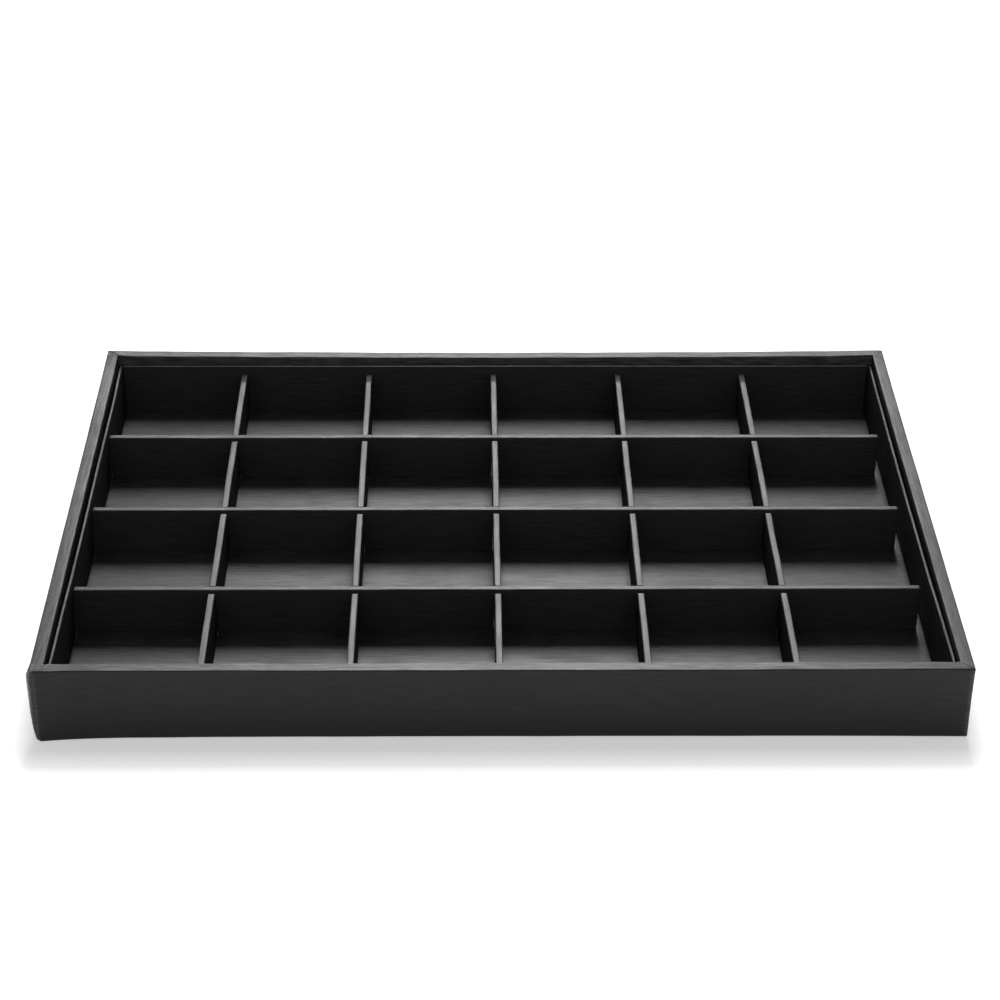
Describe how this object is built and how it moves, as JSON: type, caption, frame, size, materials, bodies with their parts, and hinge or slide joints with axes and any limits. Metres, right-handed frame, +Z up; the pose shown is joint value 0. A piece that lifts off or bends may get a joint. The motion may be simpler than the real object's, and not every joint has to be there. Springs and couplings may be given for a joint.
{
  "type": "jewelry display tray",
  "caption": "Low open tray wrapped in black leatherette, with a lift-out grid of slotted dividers that forms square compartments for jewellery.",
  "frame": {"origin": "middle of the underside, on the surface that the tray stands on", "axes": "+X to the right along the longer side, +Y from the front to the back, +Z up"},
  "size_m": [0.35, 0.24, 0.031],
  "materials": {
    "frame_leatherette": "satin",
    "floor_leatherette": "satin",
    "liner_leatherette": "satin",
    "divider_leatherette": "satin",
    "fibreboard": "matte",
    "black_card": "matte",
    "black_paper": "matte"
  },
  "bodies": {
    "tray": {"rail_front": "fibreboard", "rail_back": "fibreboard", "rail_left": "fibreboard", "rail_right": "fibreboard", "base_board": "fibreboard", "frame_cover": "frame_leatherette", "underside_paper": "black_paper", "floor_card": "black_card", "floor_lining": "floor_leatherette", "liner_card_front": "black_card", "liner_card_back": "black_card", "liner_card_left": "black_card", "liner_card_right": "black_card", "liner_cover_front": "liner_leatherette", "liner_cover_back": "liner_leatherette", "liner_cover_left": "liner_leatherette", "liner_cover_right": "liner_leatherette"},
    "cross_dividers": {"cross_divider_card_1": "black_card", "cross_divider_card_2": "black_card", "cross_divider_card_3": "black_card", "cross_divider_card_4": "black_card", "cross_divider_card_5": "black_card", "cross_divider_cover_1": "divider_leatherette", "cross_divider_cover_2": "divider_leatherette", "cross_divider_cover_3": "divider_leatherette", "cross_divider_cover_4": "divider_leatherette", "cross_divider_cover_5": "divider_leatherette"},
    "long_divider_front": {"long_divider_card_front": "black_card", "long_divider_cover_front": "divider_leatherette"},
    "long_divider_middle": {"long_divider_card_middle": "black_card", "long_divider_cover_middle": "divider_leatherette"},
    "long_divider_back": {"long_divider_card_back": "black_card", "long_divider_cover_back": "divider_leatherette"}
  },
  "joints": [
    {"name": "grid_lift", "type": "slide", "parent": "tray", "child": "cross_dividers", "axis": [0, 0, 1], "range_m": [0, 0.045]},
    {"name": "front_divider_lift", "type": "slide", "parent": "cross_dividers", "child": "long_divider_front", "axis": [0, 0, 1], "range_m": [0, 0.045]},
    {"name": "middle_divider_lift", "type": "slide", "parent": "cross_dividers", "child": "long_divider_middle", "axis": [0, 0, 1], "range_m": [0, 0.045]},
    {"name": "back_divider_lift", "type": "slide", "parent": "cross_dividers", "child": "long_divider_back", "axis": [0, 0, 1], "range_m": [0, 0.045]}
  ]
}
